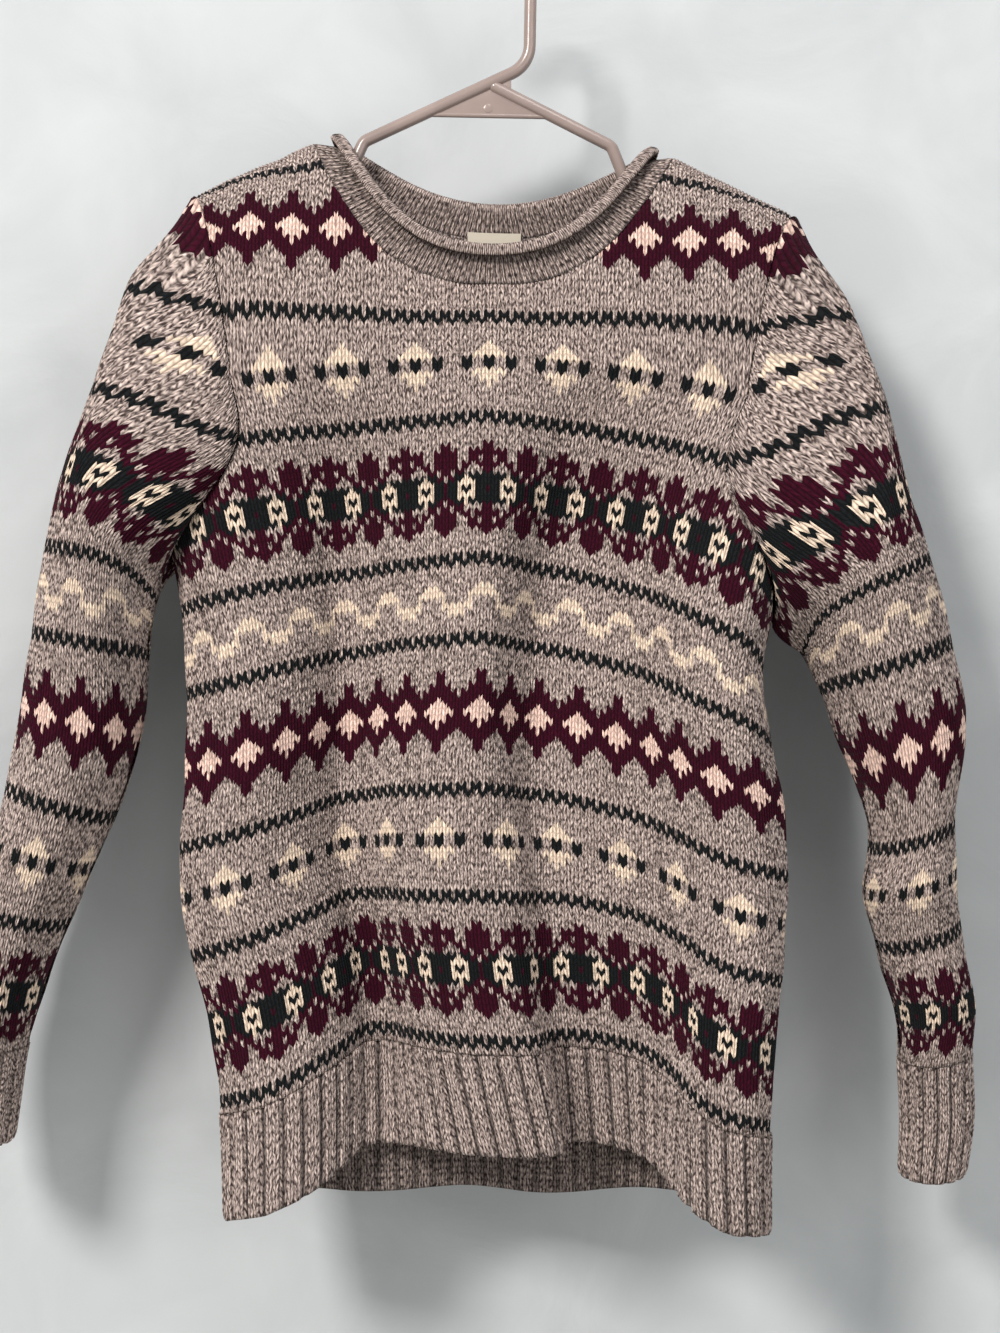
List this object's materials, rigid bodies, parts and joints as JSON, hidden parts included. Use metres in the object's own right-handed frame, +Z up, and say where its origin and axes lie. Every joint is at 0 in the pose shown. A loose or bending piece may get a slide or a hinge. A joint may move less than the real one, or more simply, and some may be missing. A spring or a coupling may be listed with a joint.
{
  "type": "knitted jumper on a tubular hanger",
  "caption": "Long-sleeved crew-neck knitted jumper with colourwork bands and ribbed edges, open at neck, hem and cuffs, hanging on a plastic tubular hanger.",
  "frame": {"origin": "top of the inside of the hook, where it rests on a rail or peg", "axes": "+Z up, the jumper's front faces -Y, +X to the right of somebody who looks at the front"},
  "size_m": [0.6622, 0.1777, 0.8056],
  "materials": {
    "wool": "stranded stocking-stitch wool, matte and slightly fuzzy",
    "ribbing": "ribbed wool, matte",
    "tape": "woven tape, matte",
    "plastic": "moulded plastic, satin gloss"
  },
  "bodies": {
    "root": {"front": "wool", "back": "wool", "sleeve_left": "wool", "sleeve_right": "wool", "front_welt": "ribbing", "back_welt": "ribbing", "cuff_left": "ribbing", "cuff_right": "ribbing", "neckband": "ribbing", "label": "tape", "hanger": "plastic"}
  },
  "joints": []
}
